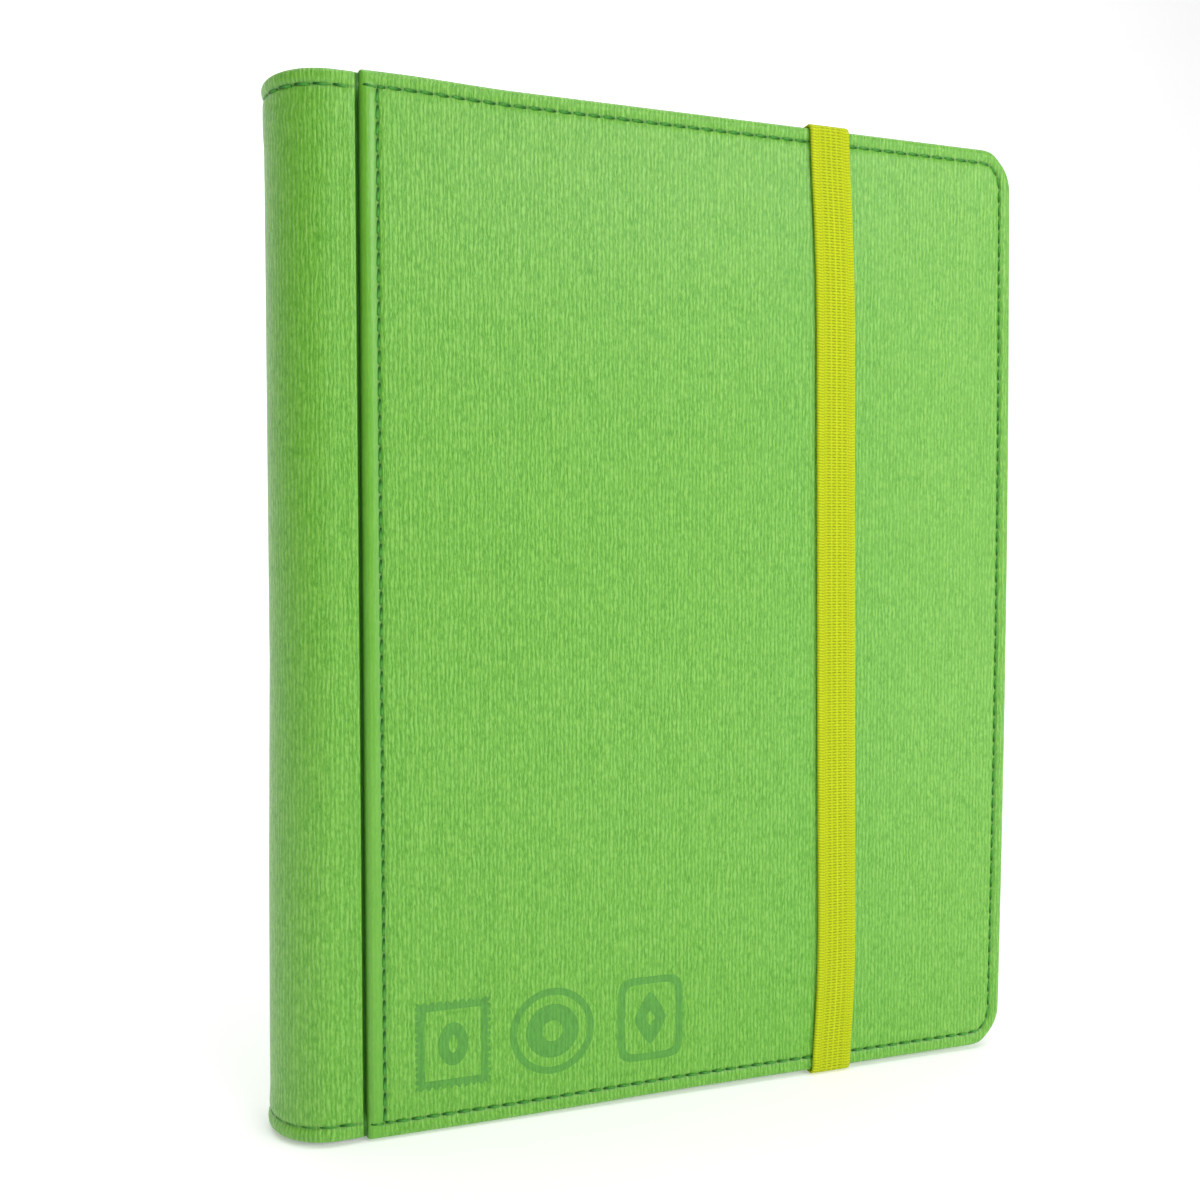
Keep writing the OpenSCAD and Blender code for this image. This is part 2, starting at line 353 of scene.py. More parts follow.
def cover_outline(inset):
    """A cover's outline drawn in by an inset, as points and outward directions in X and Z. Every inset gives
    equally many."""
    to_spine = inset + (GROOVE_SEAM - SEAM) * float(smooth_step(inset, 0, SEAM))
    r, r_small = max(CORNER_R - inset, 0.25), max(0.9 - inset, 0.1)
    left, right = GROOVE_X + to_spine, FORE_X - inset
    low, high = TAIL_Z + inset, HEAD_Z - inset
    across, up = round(COVER_W / SIDE_STEP), round(COVER_H / SIDE_STEP)
    points, normals = [], []

    def side(a, b, normal, steps):
        for t in np.linspace(0, 1, steps, endpoint=False)[1:]:
            points.append((a[0] + (b[0] - a[0]) * t, a[1] + (b[1] - a[1]) * t))
            normals.append(normal)

    def arc(cx, cz, radius, start, steps):
        for t in np.linspace(start, start + math.pi / 2, steps):
            points.append((cx + radius * math.cos(t), cz + radius * math.sin(t)))
            normals.append((math.cos(t), math.sin(t)))

    arc(left + r_small, low + r_small, r_small, math.pi, NOSE_STEPS)
    side((left + r_small, low), (right - r, low), (0, -1), across)
    arc(right - r, low + r, r, -math.pi / 2, ARC_STEPS)
    side((right, low + r), (right, high - r), (1, 0), up)
    arc(right - r, high - r, r, 0, ARC_STEPS)
    side((right - r, high), (left + r_small, high), (0, 1), across)
    arc(left + r_small, high - r_small, r_small, math.pi / 2, NOSE_STEPS)
    side((left, high - r_small), (left, low + r_small), (-1, 0), up)
    return settle(np.array(points)), np.array(normals)


def arc_lengths(points):
    """How far along a closed line each of its points lies, and the line's whole length."""
    steps = np.linalg.norm(np.diff(np.vstack([points, points[:1]]), axis=0), axis=1)
    return np.concatenate([[0], np.cumsum(steps)[:-1]]), steps.sum()


def resample(points, pitch):
    """Points at equal steps along a closed line."""
    at, whole = arc_lengths(points)
    count = round(whole / pitch)
    wanted = np.arange(count + 1) * whole / count
    closed = np.vstack([points, points[:1]])
    at = np.append(at, whole)
    return np.stack([np.interp(wanted, at, closed[:, k]) for k in range(closed.shape[1])], axis=1)


seam_points, seam_normals = cover_outline(SEAM)
seam_at, seam_whole = arc_lengths(seam_points)
seam_pitch = seam_whole / round(seam_whole / STITCH)


def field_depth(inset):
    """How deep the outer skin lies under the cover's face: a soft crown, a hem that stands up, and a valley
    where it is sewn."""
    crown = 0.06 - 0.10 * smooth_step(inset, SEAM, 40) - 0.22 * bump_at(inset, 1.6, 1.2)
    return crown + SEAM_DEPTH * bump_at(inset, SEAM, SEAM_HALF)


def cover_rings():
    """(inset, depth, weight of the needle-hole dimples) of each ring, from the middle of the face round the
    edge to the hem's end inside, and back through the inside of the skin."""
    rings = []
    field = [50, 40, 32, 25, 19, 14, 11, 9, 7.6, 6.6, 5.8, 5.2, 4.75, 4.4, 4.1, 3.85, SEAM, 3.35, 3.1, 2.8]
    for inset in field:
        rings.append((inset, float(field_depth(inset)), float(bump_at(inset, SEAM, 0.8))))
    half = COVER_T / 2
    for angle in range(84, -85, -12):
        a = math.radians(angle)
        height = math.copysign(abs(math.sin(a)) ** NOSE_POWER, a)
        rings.append((2.0 * (1 - math.cos(a) ** NOSE_POWER), half - (half + 0.02) * height, 0.0))
    for inset in [2.8, 3.2, SEAM, 4.0, 4.5, 5.5, 7.2, HEM]:
        rings.append((inset, COVER_T - 0.3 * float(bump_at(inset, SEAM, 0.5)), 0.0))
    inner = COVER_T - SKIN
    rings += [(HEM, inner, 0), (1.4, inner, 0), (1.4, SKIN, 0), (9, SKIN, 0)]
    return rings


def cover_leather(name, side):
    """One cover's skin. side is -1 for the front and 1 for the back."""
    holes = np.cos(math.pi * seam_at / seam_pitch) ** 6
    points, grain, painted_crease_shade, calms = [], [], [], []
    rings = cover_rings()
    edge, _ = cover_outline(0)
    travel, before = 0.0, None
    for inset, depth, dimple in rings:
        outline, normals = cover_outline(inset)
        if before is not None:
            travel += math.dist(before, (inset, depth))
        before = (inset, depth)
        deep = depth + HOLE_DEPTH * dimple * holes
        from_end = np.minimum(outline[:, 1] - TAIL_Z, HEAD_Z - outline[:, 1])
        by_groove = outline[:, 0] - GROOVE_X
        if 0 < inset < SEAM and depth < 1:
            crease = SEAM_DEPTH * bump_at(from_end, SEAM - HEM_RISE, SEAM_HALF)
            deep = np.maximum(deep, depth + crease * (outline[:, 0] < GROOVE_X + GROOVE_SEAM - 0.4))
        if depth < 1.6:
            # beside the groove the hem swells first and then falls away into it
            inside_rows = smooth_step(from_end, 2.5, 5)
            deep = deep - 0.2 * bump_at(by_groove, 2.4, 1.0) * inside_rows
            deep = deep + 0.6 * np.clip(1 - by_groove / 2.2, 0, 1) ** 2 * inside_rows
        # painted shade, carried in the crease share: darker in the seam valley, down into the groove, on the
        # strip's side towards the groove and beside the seam that runs along it
        painted_crease_shade.append(0.55 * bump_at(inset, SEAM, 0.35) * (depth < 1) * np.ones(len(outline))
                       + (1 - smooth_step(by_groove, -0.1, 0.55)) * (0.25 + 0.6 * min(depth, 1.0))
                       + (depth < 1) * (0.22 * (1 - smooth_step(by_groove, 0.4, 1.9))
                                        + 0.12 * bump_at(by_groove, GROOVE_SEAM - 0.4, 0.8)))
        calms.append((1 - smooth_step(by_groove, 3.4, 4.2)) * (depth < 2))
        y = side * (abs(FACE_Y) - deep)
        points.append(np.column_stack([outline[:, 0], y, outline[:, 1]]))
        over_edge = travel - rings[0][0]
        base = outline if over_edge < -1 else edge + normals * over_edge
        grain.append(np.column_stack([base[:, 0], base[:, 1], np.full(len(base), side * GRAIN_APART)]))
    count = len(points[0])
    points, grain = np.vstack(points), np.vstack(grain)
    faces = loft(len(points) // count, count, close_columns=True)
    faces += [tuple(range(count)), tuple(range(len(points) - 1, len(points) - 1 - count, -1))]
    shares = {"crease": np.clip(np.concatenate(painted_crease_shade), 0, 1), "calm": np.concatenate(calms)}
    obj = make_object(name, points, faces, [MAT_LEATHER], grain, shares=shares)
    tidy_mesh(obj, 0.02 * MM)
    return obj


def stitch_row(holes, outwards, name, depth=0.34, slant=0.16):
    """A row of single stitches between needle holes, each a little aslant, with painted shade where it dives
    in.
    outwards is the surface's direction at each hole."""
    points, grain, faces = [], [], []
    rings, sides = 13, 8
    for k, (a, b) in enumerate(zip(holes[:-1], holes[1:])):
        out = (outwards[k] + outwards[k + 1]) / 2
        out /= np.linalg.norm(out)
        along = (b - a) / np.linalg.norm(b - a)
        across = np.cross(out, along)
        start = len(points)
        for i in range(rings):
            t = i / (rings - 1)
            sink = depth + 0.16 * (2 * t - 1) ** 2 + 0.5 * abs(2 * t - 1) ** 7
            centre = a + (b - a) * ((t - 0.5) * 0.97 + 0.5) - out * sink + across * slant * (1 - 2 * t)
            r = THREAD_R * (0.72 + 0.28 * math.sin(math.pi * t) ** 0.6)
            for j in range(sides):
                turn = 2 * math.pi * j / sides
                points.append(centre + (across * math.cos(turn) * 1.1 + out * math.sin(turn)) * r)
                # the third value falls to nought at a stitch's ends, where the thread material lays painted
                # shade
                grain.append((k * 7.3 + t * 3.4, turn * 0.6, min(1.8 * t, 6 * (1 - t))))
        faces += loft(rings, sides, close_columns=True, start=start)
        faces.append(tuple(range(start + sides - 1, start - 1, -1)))
        faces.append(tuple(range(start + (rings - 1) * sides, start + rings * sides)))
    return make_object(name, points, faces, [MAT_THREAD], grain)


def join(name, objects):
    """Joins mesh objects into the first and names it."""
    for o in bpy.context.selected_objects:
        o.select_set(False)
    for o in objects:
        o.select_set(True)
    bpy.context.view_layer.objects.active = objects[0]
    bpy.ops.object.join()
    objects[0].name = name
    objects[0].data.name = name
    return objects[0]


def cover_stitches(name, side):
    holes = resample(np.column_stack([seam_points, seam_normals]), STITCH)
    flat = np.zeros(len(holes))
    places = np.column_stack([holes[:, 0], np.full(len(holes), side * abs(FACE_Y)), holes[:, 1]])
    out = np.column_stack([flat, np.full(len(holes), float(side)), flat])
    outer = stitch_row(places, out, name + "_outer")
    inside = places - out * COVER_T
    inner = stitch_row(inside, -out, name + "_inner", depth=0.2)
    rows = [outer, inner]
    for z in (TAIL_Z + SEAM, HEAD_Z - SEAM):
        ends = settle(np.array([(GROOVE_X + 0.7, z), (GROOVE_X + GROOVE_SEAM, z)]))
        ends = np.insert(ends, 1, side * abs(FACE_Y), axis=1)
        rows.append(stitch_row(ends, np.array([(0, side, 0)] * 2, float), f"{name}_{z:.0f}", depth=0.3))
    return join(name, rows)


def build_cover(word, side, body):
    skin = cover_leather(word + "_cover_skin", side)
    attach(skin, body)
    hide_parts(word + "_leather")
    seams = cover_stitches(word + "_cover_stitches", side)
    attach(seams, body)
    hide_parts(word + "_stitching")


# ---- stamped ornament -------------------------------------------------------------------------------

def closed_loop(shape, count=160):
    """Points of a closed outline, from a function of a share from 0 to 1."""
    return np.array([shape(k / count) for k in range(count)])


def box_shape(cx, cz, half_w, half_h, scallops=0, bite=0.0):
    """A rectangle's outline; scallops bite it all round, as a stamp's perforations do."""
    whole = 4 * (half_w + half_h)

    def shape(t):
        s = t * whole
        sides = [
            (2 * half_w, (-half_w, -half_h), (1, 0), (0, 1)),
            (2 * half_h, (half_w, -half_h), (0, 1), (-1, 0)),
            (2 * half_w, (half_w, half_h), (-1, 0), (0, -1)),
            (2 * half_h, (-half_w, half_h), (0, -1), (1, 0)),
        ]
        for length, start, along, inward in sides:
            if s < length or inward == (1, 0):
                cut = bite * max(0.0, math.sin(math.pi * s * round(scallops * length / whole) * 2 / length))
                return (
                    cx + start[0] + along[0] * s + inward[0] * cut,
                    cz + start[1] + along[1] * s + inward[1] * cut,
                )
            s -= length

    return shape


def round_shape(cx, cz, radius_x, radius_z=None, power=1.0):
    """An ellipse; a power under 1 squares it off into a card with round corners."""
    radius_z = radius_z or radius_x

    def shape(t):
        c, s = math.cos(2 * math.pi * t), math.sin(2 * math.pi * t)
        return (
            cx + radius_x * math.copysign(abs(c) ** power, c),
            cz + radius_z * math.copysign(abs(s) ** power, s),
        )

    return shape


def stamped_band(outer, inner, proud=0.05, slope=0.12):
    """A band between two outlines, with sloping edges, as rows of points (X, height, Z)."""
    middle = (outer.mean(axis=0) + inner.mean(axis=0)) / 2

    def towards(loop, amount):
        gap = loop - middle
        return loop - gap / np.linalg.norm(gap, axis=1)[:, None] * amount

    rows = [(outer, -0.2), (towards(outer, slope), proud), (towards(inner, -slope), proud), (inner, -0.2)]
    return np.vstack([np.column_stack([p[:, 0], np.full(len(p), h), p[:, 1]]) for p, h in rows])


def build_ornament():
    """Three collectors' signs pressed into the front's lower corner: a stamp, a coin and a card."""
    left, low = GROOVE_X + 11, TAIL_Z + 9
    tall = 21.0
    cz = low + tall / 2
    stamp_x, coin_x, card_x = left + 9, left + 33, left + 58
    pairs = [
        (box_shape(stamp_x, cz, 9, tall / 2, 44, 0.9), box_shape(stamp_x, cz, 6.6, tall / 2 - 2.4)),
        (round_shape(stamp_x, cz, 3.6, 5.2), round_shape(stamp_x, cz, 0.9, 2.0)),
        (round_shape(coin_x, cz, tall / 2), round_shape(coin_x, cz, tall / 2 - 1.9)),
        (round_shape(coin_x, cz, 6.6), round_shape(coin_x, cz, 2.4)),
        (round_shape(card_x, cz, 8.6, tall / 2, 0.35), round_shape(card_x, cz, 6.6, tall / 2 - 2.0, 0.3)),
        (round_shape(card_x, cz, 4.2, 6.6, 1.6), round_shape(card_x, cz, 1.1, 1.7, 1.6)),
    ]
    points, faces = [], []
    for outer, inner in pairs:
        band = stamped_band(closed_loop(outer), closed_loop(inner))
        count = len(band) // 4
        faces += loft(4, count, close_rows=True, close_columns=True, start=sum(len(p) for p in points))
        points.append(band)
    points = np.vstack(points)
    inset = np.minimum(points[:, 0] - GROOVE_X, points[:, 2] - TAIL_Z)
    points[:, 1] = FACE_Y + field_depth(inset) - points[:, 1]
    obj = make_object("front_ornament", points, faces, [MAT_STAMPED], points[:, [0, 2, 1]], smooth=False)
    tidy_mesh(obj)
    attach(obj, "front_cover")


# ---- spine -----------------------------------------------------------------------------------------

def spine_path():
    """Half of the spine, from the middle of its back to the groove: each point's X, Y and direction outwards,
    and how far along the line each lies."""
    path = []
    for angle in [0, 0.5, 1.5, *np.arange(3, 91, 3)]:
        a = math.radians(angle)
        path.append((SPINE_CX - SPINE_R * math.cos(a), -SPINE_R * math.sin(a), -math.cos(a), -math.sin(a)))
    for before, sunk in [
        (4.9, 0), (4.2, 0), (3.4, 0), (2.7, 0.01), (2.1, 0.03), (1.6, 0.07), (1.2, 0.14), (0.95, 0.24),
        (0.78, 0.42), (0.66, 0.75), (0.55, 1.2), (0.3, 1.7), (-0.2, 1.9), (-1.0, 1.95),
    ]:
        path.append((GROOVE_X - before, -SPINE_R + sunk, 0.0, -1.0))
    places = np.array(path)
    gaps = np.linalg.norm(np.diff(places[:, :2], axis=0), axis=1)
    return places, np.concatenate([[0], np.cumsum(gaps)])


def spine_swell(z, angle):
    """How far the spine's skin stands out: hem rolls at head and tail, sewn valleys, and a slack head."""
    from_head, from_tail = HEAD_Z - z, z - TAIL_Z
    edge = np.minimum(from_head, from_tail)
    swell = 0.26 * bump_at(edge, 1.7, 1.3) - 0.42 * bump_at(edge, SEAM, 0.7)
    swell -= 0.25 * smooth_step(from_head, 9, 16) * smooth_step(from_tail, 4, 10)
    slack = np.cos(np.clip((angle - 48) / 34, -1, 1) * math.pi / 2)
    swell -= 0.45 * slack * bump_at(from_head, 7.0, 2.4)
    swell += 0.35 * slack * bump_at(from_head, 10.6, 1.8)
    swell -= 0.3 * slack * bump_at(from_head, 14.0, 2.2)
    swell += 0.12 * np.sin(z / 23.0 + 1.0) * np.sin(np.radians(angle) * 2)
    return swell


def spine_lean(x, z):
    """The round back leans: it sits closer to the leaves at its head than at its tail."""
    lean = np.interp(z, [20, 60, 110, 200], [-0.6, -0.35, 0.3, 0.38])
    return float(lean * smooth_step(GROOVE_X - 1.5 - x, 0, 8))


def spine_section():
    """(Z, depth under the skin) of the leatherette's closed section, from the tail up the outside and back
    through the inside."""
    step = 0.8
    outside = [ROLL_R + 0.3 * k for k in range(24)]
    high = COVER_H - ROLL_R
    body = list(np.linspace(outside[-1] + step, COVER_H - outside[-1] - step, 120))
    section = [(z, 0.0) for z in outside + body + [COVER_H - z for z in reversed(outside)]]
    nose = [
        (high + ROLL_R * math.sin(math.radians(a)), ROLL_R - ROLL_R * math.cos(math.radians(a)))
        for a in range(18, 180, 18)
    ]
    sheet_end = COVER_H - STIFFENER_INSET
    hem = [
        (high, SPINE_WALL), (COVER_H - SEAM, SPINE_WALL - 0.15), (COVER_H - HEM, SPINE_WALL),
        (COVER_H - HEM, LINING_DEPTH), (sheet_end, LINING_DEPTH), (sheet_end, SPINE_SKIN + 0.02),
    ]
    tail = [(COVER_H - z, d) for z, d in reversed(nose + hem)]
    return section + nose + hem + tail


def lining_section():
    """The closed section of the spine's lining, between its two hems."""
    low, high = HEM, COVER_H - HEM
    return [(low, LINING_DEPTH), (high, LINING_DEPTH), (high, SPINE_WALL), (low, SPINE_WALL)]


def spine_half(name, side, section, material, dip=1.0):
    """Half of a layer of the spine, on the front side for -1, up to under the edge of that side's cover.
    dip tells how much it sinks into the groove."""
    path, travel = spine_path()
    points, grain, painted_crease_shade = [], [], []
    for (x, y, nx, ny), run in zip(path, travel):
        angle = math.degrees(math.atan2(-ny, -nx))
        sunk = max(0.0, y + SPINE_R) if x > SPINE_CX + 0.1 else 0.0
        y -= sunk * (1 - dip)
        fade = float(1 - smooth_step(x, GROOVE_X - 4, GROOVE_X - 1))
        thin = 1 - 0.45 * float(smooth_step(x, GROOVE_X - 1, GROOVE_X)) * (dip == 1)
        for z, depth in section:
            swell = float(spine_swell(TAIL_Z + z, angle)) if depth < SPINE_SKIN else 0.0
            hemmed = 0.62 * float(1 - smooth_step(min(z, COVER_H - z), 2.5, 7))
            out = swell * fade - depth * thin + hemmed * sunk * dip
            points.append((x + nx * out + spine_lean(x, z), side * -(y + ny * out), TAIL_Z + z))
            grain.append((GROOVE_X - 20 + run, TAIL_Z + z, side * GRAIN_APART))
            # painted shade, carried in the crease share: darker in the sewn valleys at head and tail and
            # where the skin sinks into the groove
            seam = 0.5 * float(bump_at(min(z, COVER_H - z), SEAM, 0.4)) * (depth < SPINE_SKIN)
            painted_crease_shade.append(min(1.0, max(seam, float(smooth_step(sunk, 0.3, 1.1)) * 0.9)))
    columns = len(section)
    faces = loft(len(path), columns, close_columns=True)
    faces.append(tuple(range(columns)))
    faces.append(tuple(range(len(points) - 1, len(points) - 1 - columns, -1)))
    obj = make_object(name, points, faces, [material], grain, shares={"crease": painted_crease_shade})
    tidy_mesh(obj)
    return obj


def spine_stiffener():
    """The bendy sheet inside the round back. It ends short of the two grooves."""
    path, _ = spine_path()
    path = path[path[:, 0] < GROOVE_X - 4.0]
    full = np.vstack([path[::-1] * (1, -1, 1, -1), path[1:]])
    low, high = STIFFENER_INSET, COVER_H - STIFFENER_INSET
    near, far = 0.75, 1.45
    points = []
    for x, y, nx, ny in full:
        for z, depth in [(low, near), (high, near), (high, far), (low, far)]:
            points.append((x - nx * depth + spine_lean(x, z), y - ny * depth, TAIL_Z + z))
    faces = loft(len(full), 4, close_columns=True) + [(0, 1, 2, 3)]
    faces.append(tuple(range(len(points) - 1, len(points) - 5, -1)))
    obj = make_object("spine_stiffener_sheet", points, faces, [MAT_FOAM], smooth=False)
    tidy_mesh(obj)
    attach(obj, "spine")
    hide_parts("spine_stiffener")


def spine_stitches(name, side):
    path, travel = spine_path()
    last = float(np.interp(GROOVE_X - 1.6, path[6:, 0], travel[6:]))
    count = round(last / SPINE_STITCH)
    rows = []
    for z in (SEAM, COVER_H - SEAM):
        wanted = np.linspace(0, last, count + 1)
        x, y, nx, ny = (np.interp(wanted, travel, path[:, k]) for k in range(4))
        x = x + [spine_lean(v, z) for v in x]
        holes = np.column_stack([x, -side * y, np.full(count + 1, TAIL_Z + z)])
        out = np.column_stack([nx, -side * ny, np.zeros(count + 1)])
        rows.append(stitch_row(holes, out, f"{name}_{z:.0f}", depth=0.3))
    return join(name, rows)


def bend_at_groove(obj):
    """Bakes the part's place into its mesh. It is not bent at the groove and does not follow a cover."""
    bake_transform(obj)


def build_spine():
    for word, side, body in (("front", -1, "front_cover"), ("back", 1, "back_cover")):
        skin = spine_half(f"spine_skin_{word}", side, spine_section(), MAT_LEATHER)
        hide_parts("spine_leather")
        bend_at_groove(skin)
        lining = spine_half(f"spine_lining_{word}", side, lining_section(), MAT_LINING, dip=0.45)
        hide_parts("spine_lining")
        bend_at_groove(lining)
        seams = spine_stitches(f"spine_stitches_{word}", side)
        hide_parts("spine_stitching")
        bend_at_groove(seams)
    spine_stiffener()


# ---- strap -----------------------------------------------------------------------------------------

STRAP_W = strap_high[0] - strap_low[0]
STRAP_T = 0.9
STRAP_X = (strap_low[0] + strap_high[0]) / 2
PICK = 0.73  # from one cross thread to the next
BORDER = 0.17  # share of the width in each corded border
BORDER_CORD = 0.17  # share of the half width from one cord of a border to the next
MIDDLE_CORDS = 3.7  # cords to each side of the middle
WEAVE_DEPTH = 0.2

# the band's middle line bows towards the fore edge low down, and leans to the spine at its head:
# (height, how far it lies from the straight line)
BOW = [
    (0, -0.6), (10, 0.4), (28, 1.3), (90, 0.5), (150, -0.1),
    (200, -0.6), (214, -1.2), (228, -2.1), (242, -3.0),
]


def strap_line():
    """The band's middle line in Y and Z with its outward direction, from the head's seam to the tail's."""
    back_y = (tab_low[1] + tab_high[1]) / 2
    half = STRAP_T / 2
    high, low, front = strap_high[2] - half, strap_low[2] + half, strap_low[1] + half
    bend = 1.7
    corners = []

    def turn(cy, cz, start):
        for k in range(10):
            a = start + math.pi / 2 * k / 9
            corners.append((cy + bend * math.cos(a), cz + bend * math.sin(a)))

    corners.append((back_y, high))
    turn(front + bend, high - bend, math.pi / 2)
    turn(front + bend, low + bend, math.pi)
    corners.append((back_y, low))
    return np.array(corners)


def resample_open(line, step):
    gaps = np.linalg.norm(np.diff(line, axis=0), axis=1)
    at = np.concatenate([[0], np.cumsum(gaps)])
    wanted = np.linspace(0, at[-1], round(at[-1] / step) + 1)
    return np.stack([np.interp(wanted, at, line[:, k]) for k in range(2)], axis=1), wanted


def band_profile(columns):
    """(share across the width, how corded it is) of the band's face."""
    share = np.linspace(-1, 1, columns)
    corded = smooth_step(np.abs(share), 1 - 2 * BORDER - 0.04, 1 - 2 * BORDER + 0.02)
    return share, corded


def woven_band(name, line, x_at, step=0.17, columns=37):
    """A woven band along a line in Y and Z. Picks ridge it from side to side, and cords run along its middle
    and its borders. Its back has fewer columns of points."""
    path, run = resample_open(line, step)
    along = np.gradient(path, axis=0)
    along /= np.linalg.norm(along, axis=1)[:, None]
    share, corded = band_profile(columns)
    back_columns = range(columns - 2, 0, -3)
    points, grain, weave = [], [], []
    for (y, z), (ty, tz), s in zip(path, along, run):
        out = np.array([tz, -ty])
        centre = x_at(z)
        phase = s / PICK
        row = int(math.floor(phase))
        pick = abs(math.sin(math.pi * phase)) ** 0.7
        cord = np.abs(np.sin(math.pi * share * MIDDLE_CORDS))
        between = 0.25 * (0.5 + 0.5 * np.cos(share * 34 + (row % 2) * math.pi))
        middle = np.maximum(pick * (0.75 + between), 0.95 * (1 - cord) ** 1.3)
        cords = (0.5 + 0.5 * np.cos((np.abs(share) - 1) * 2 * math.pi / BORDER_CORD)) ** 0.6
        slant = np.abs(np.sin(math.pi * (phase + np.abs(share)))) ** 0.7
        border = 0.12 + 0.18 * cords + 0.7 * slant
        relief = (1 - corded) * middle + corded * border
        edge = np.sqrt(np.clip(1 - ((np.abs(share) - 0.93) / 0.07).clip(0, 1) ** 2, 0, 1))
        fray = 0.05 * np.sin(phase * 2 * math.pi + share)
        for face in (1, -1):
            order = range(columns) if face == 1 else back_columns
            for j in order:
                high = (STRAP_T / 2 - WEAVE_DEPTH + WEAVE_DEPTH * relief[j]) * edge[j]
                x = centre + share[j] * (STRAP_W / 2 + (fray[j] if abs(share[j]) > 0.97 else 0))
                points.append((x, y + out[0] * high * face, z + out[1] * high * face))
                grain.append((x, s, face * 5.0))
                weave.append(relief[j])
    around = columns + len(back_columns)
    faces = loft(len(path), around, close_columns=True)
    faces.append(tuple(range(around)))
    faces.append(tuple(range(len(points) - 1, len(points) - 1 - around, -1)))
    obj = make_object(name, points, faces, [MAT_ELASTIC], grain, shares={"weave": weave})
    tidy_mesh(obj)
    return obj


def build_strap():
    heights, offsets = [b[0] for b in BOW], [b[1] for b in BOW]
    fine = np.linspace(0, heights[-1], 200)
    reach = 12  # neighbours to each side that ease the bow
    window = np.ones(2 * reach + 1) / (2 * reach + 1)
    eased = np.convolve(np.pad(np.interp(fine, heights, offsets), reach, mode="edge"), window, "valid")
    band = woven_band("elastic_strap", strap_line(), lambda z: STRAP_X + float(np.interp(z, fine, eased)))
    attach(band, "elastic_strap")
    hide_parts("strap")
    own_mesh(band)
    for word, node, x_shift, low, high in (
        ("upper", "strap_tab_upper", offsets[-1], tab_low[2], tab_high[2] + 0.5),
        ("lower", "strap_tab_lower", offsets[0], TAIL_Z - 0.5, TAIL_Z + tab_high[2] - tab_low[2]),
    ):
        y = (tab_low[1] + tab_high[1]) / 2
        line = np.array([(y, high), (y, low)])
        tab = woven_band(f"strap_end_{word}", line, lambda z, d=x_shift: STRAP_X + d)
        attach(tab, "back_cover")
        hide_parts(node)


# ---- leaves ----------------------------------------------------------------------------------------

def leaf_names():
    return sorted(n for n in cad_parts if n.startswith("leaf_") and n != "leaf_margins")


def page_sheet(name, low, high, start_x):
    """A leaf's whole backing sheet, from the binding strip to its fore edge, with rounded outer corners."""
    xs = [start_x, -80, -74, -71, *np.linspace(-70, -67, 13), -64, -56, -30, 0, 30, 60, 80, high[0] - 3,
          high[0] - 1.6, high[0] - 0.5, high[0]]
    drop = [0] * (len(xs) - 4) + [0.0, 0.35, 1.3, 3.0]
    points, count = [], 4
    for x, cut in zip(xs, drop):
        z0, z1 = low[2] + cut, high[2] - cut
        points += [(x, low[1], z0), (x, high[1], z0), (x, high[1], z1), (x, low[1], z1)]
    faces = loft(len(xs), count, close_columns=True) + [(3, 2, 1, 0)]
    end = len(points) - 4
    faces.append((end, end + 1, end + 2, end + 3))
    obj = make_object(name, points, faces, [MAT_BACKING], smooth=False)
    tidy_mesh(obj)
    return obj


def pocket_film(name, low, high):
    """One face of pockets: two columns of two, pillowed between their welds, thin and clear."""
    weld, rows, columns = 2.0, 2, 2
    slit = 3.0
    width = (high[0] - low[0] - slit) / columns
    tall = (high[2] - low[2]) / rows
    n = 14
    points, faces = [], []
    for column in range(columns):
        for row in range(rows):
            x0, z0 = low[0] + column * (width + slit), low[2] + row * tall
            us = np.concatenate([[0, 0.4], np.linspace(weld, width - weld, n), [width - 0.4, width]])
            vs = np.concatenate([[0, 0.4], np.linspace(weld, tall - weld, n), [tall - 0.4, tall]])
            start = len(points)
            for v in vs:
                for u in us:
                    inner = min(u - weld, width - weld - u, v - weld, tall - weld - v)
                    pillow = 0.0 if inner <= 0 else 0.12 * float(smooth_step(inner, 0, 9))
                    points.append((x0 + u, 0.06 + pillow, z0 + v))
            top = len(points) - start
            for v in vs:
                for u in us:
                    points.append((x0 + u, 0.0, z0 + v))
            m = len(us)
            faces += loft(len(vs), m, start=start)
            faces += [tuple(reversed(f)) for f in loft(len(vs), m, start=start + top)]
            rim = [
                *range(m),
                *(m - 1 + m * k for k in range(1, len(vs))),
                *(m * (len(vs) - 1) + m - 1 - k for k in range(1, m)),
                *(m * k for k in range(len(vs) - 2, 0, -1)),
            ]
            for a, b in zip(rim, rim[1:] + rim[:1]):
                faces.append((start + a, start + b, start + top + b, start + top + a))
    obj = make_object(name, points, faces, [MAT_FILM])
    tidy_mesh(obj)
    return obj


def build_leaves():
    film_low, film_high = (np.array(c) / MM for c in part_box("pockets_01"))
    film_mesh = None
    for leaf in leaf_names():
        number = leaf.split("_")[1]
        body = f"page_{number}"
        low, high = (np.array(c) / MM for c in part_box(leaf))
        sheet = page_sheet(f"page_sheet_{number}", low, high, strip_high[0])
        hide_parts(leaf, "leaf_margins")
        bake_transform(sheet)
        for word, side in (("front", -1), ("back", 1)):
            name = f"pockets_{number}_{word}"
            if film_mesh is None:
                pockets = pocket_film(name, film_low, film_high)
                film_mesh = pockets.data
            else:
                pockets = bpy.data.objects.new(name, film_mesh)
                bpy.context.collection.objects.link(pockets)
            pockets.location.y = (high[1] if side == 1 else low[1]) * MM
            pockets.scale.y = side
            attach(pockets, body)
            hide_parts(f"pockets_{number}")


# ---- CAD nodes that stay --------------------------------------------------------------------------

